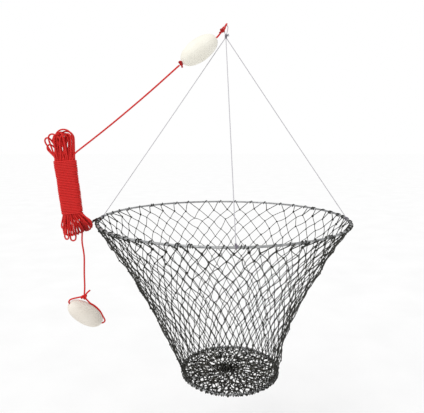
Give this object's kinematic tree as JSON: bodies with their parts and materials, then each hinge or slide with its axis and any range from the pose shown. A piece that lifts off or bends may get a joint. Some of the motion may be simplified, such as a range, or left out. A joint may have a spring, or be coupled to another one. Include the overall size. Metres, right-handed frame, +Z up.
{
  "type": "folding crab trap",
  "caption": "Ring-net crab trap: two steel hoops with a knotted net basket that folds flat, a three-line lifting harness, and a floated haul rope coiled into a hank.",
  "frame": {"origin": "top of the lifting loop, which the trap hangs from", "axes": "+Z up along the harness; +X to the right as seen from the front, away from the rope hank"},
  "size_m": [0.9316, 0.7708, 1.0826],
  "materials": {
    "galvanised_steel": "dull galvanised",
    "net_twine": "tarred twisted nylon",
    "harness_cord": "matte twisted cord",
    "haul_rope": "braided polypropylene",
    "float_foam": "closed-cell foam",
    "tie_twine": "waxed twine"
  },
  "bodies": {
    "root": {"lifting_loop": "harness_cord", "apex_knot": "harness_cord", "harness_line_left": "harness_cord", "harness_line_right": "harness_cord", "harness_line_front": "harness_cord", "rope_eye": "haul_rope", "eye_knot": "haul_rope", "float_line": "haul_rope", "stop_knot": "haul_rope", "rope_lead": "haul_rope"},
    "hoop": {"top_hoop": "galvanised_steel", "side_net": "net_twine", "harness_hitch_left": "tie_twine", "harness_hitch_right": "tie_twine", "harness_hitch_front": "tie_twine", "rope_hank": "haul_rope", "hank_tie": "tie_twine"},
    "base": {"base_hoop": "galvanised_steel", "base_net": "net_twine", "base_gather_tie": "net_twine"},
    "upper_float": {"upper_float": "float_foam"},
    "tail": {"rope_tail": "haul_rope", "tail_knot": "haul_rope", "float_loop": "haul_rope"},
    "lower_float": {"lower_float": "float_foam"}
  },
  "joints": [
    {"name": "hoop_lift", "type": "slide", "parent": "root", "child": "hoop", "axis": [0, 0, 1], "range_m": [0, 0.42], "deforming": ["harness_line_left", "harness_line_right", "harness_line_front", "rope_lead"]},
    {"name": "base_fold", "type": "slide", "parent": "hoop", "child": "base", "axis": [0, 0, 1], "range_m": [0, 0.485], "deforming": ["side_net"]},
    {"name": "float_slide", "type": "slide", "parent": "root", "child": "upper_float", "axis": [0.8238, 0, 0.5669], "range_m": [0, 0.01]},
    {"name": "tail_swing", "type": "hinge", "parent": "hoop", "child": "tail", "pos_m": [-0.447, 0, -0.621], "axis": [0, 1, 0], "range_deg": [-20, 20]},
    {"name": "lower_float_spin", "type": "hinge", "parent": "tail", "child": "lower_float", "pos_m": [-0.448, 0, -0.8848], "axis": [0.762, 0.2, -0.616], "continuous": true}
  ]
}
